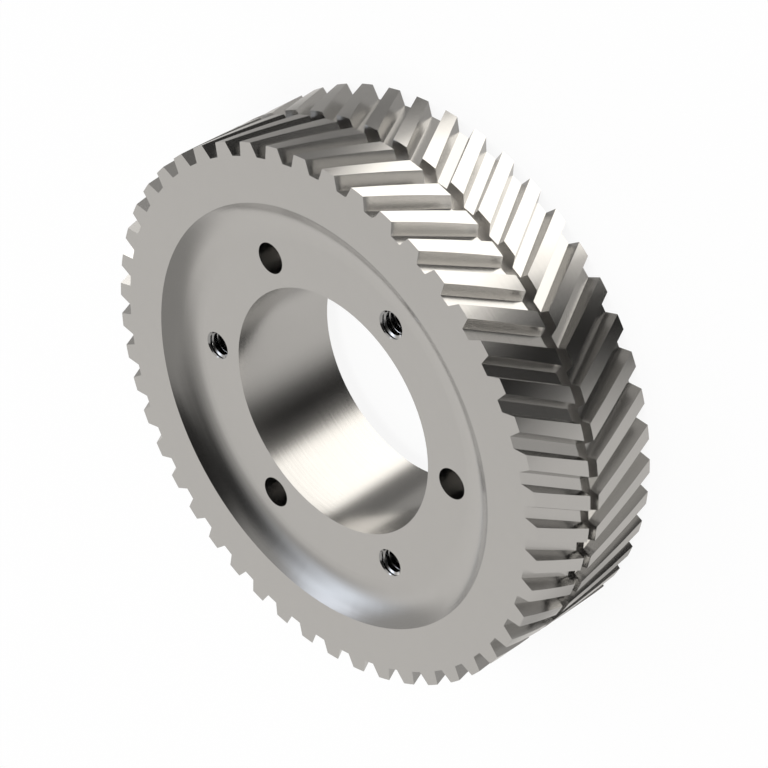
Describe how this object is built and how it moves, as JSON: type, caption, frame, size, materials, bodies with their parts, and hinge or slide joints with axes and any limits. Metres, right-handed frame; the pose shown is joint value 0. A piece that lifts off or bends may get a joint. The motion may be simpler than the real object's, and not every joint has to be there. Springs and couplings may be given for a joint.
{
  "type": "herringbone gear",
  "caption": "Round toothed wheel with V-shaped herringbone teeth parted by a middle groove, dished faces, a tapered bore for a split bushing and a ring of screw holes.",
  "frame": {"origin": "on the axis, in the plane of the back rim face that the wheel lies on", "axes": "+Z along the axis, out of the face where the bore is widest; +X through one plain screw hole"},
  "size_m": [0.1208, 0.1208, 0.0329],
  "materials": {
    "machined_steel": "fine machined, bare"
  },
  "bodies": {
    "root": {"herringbone_gear": "machined_steel"}
  },
  "joints": []
}
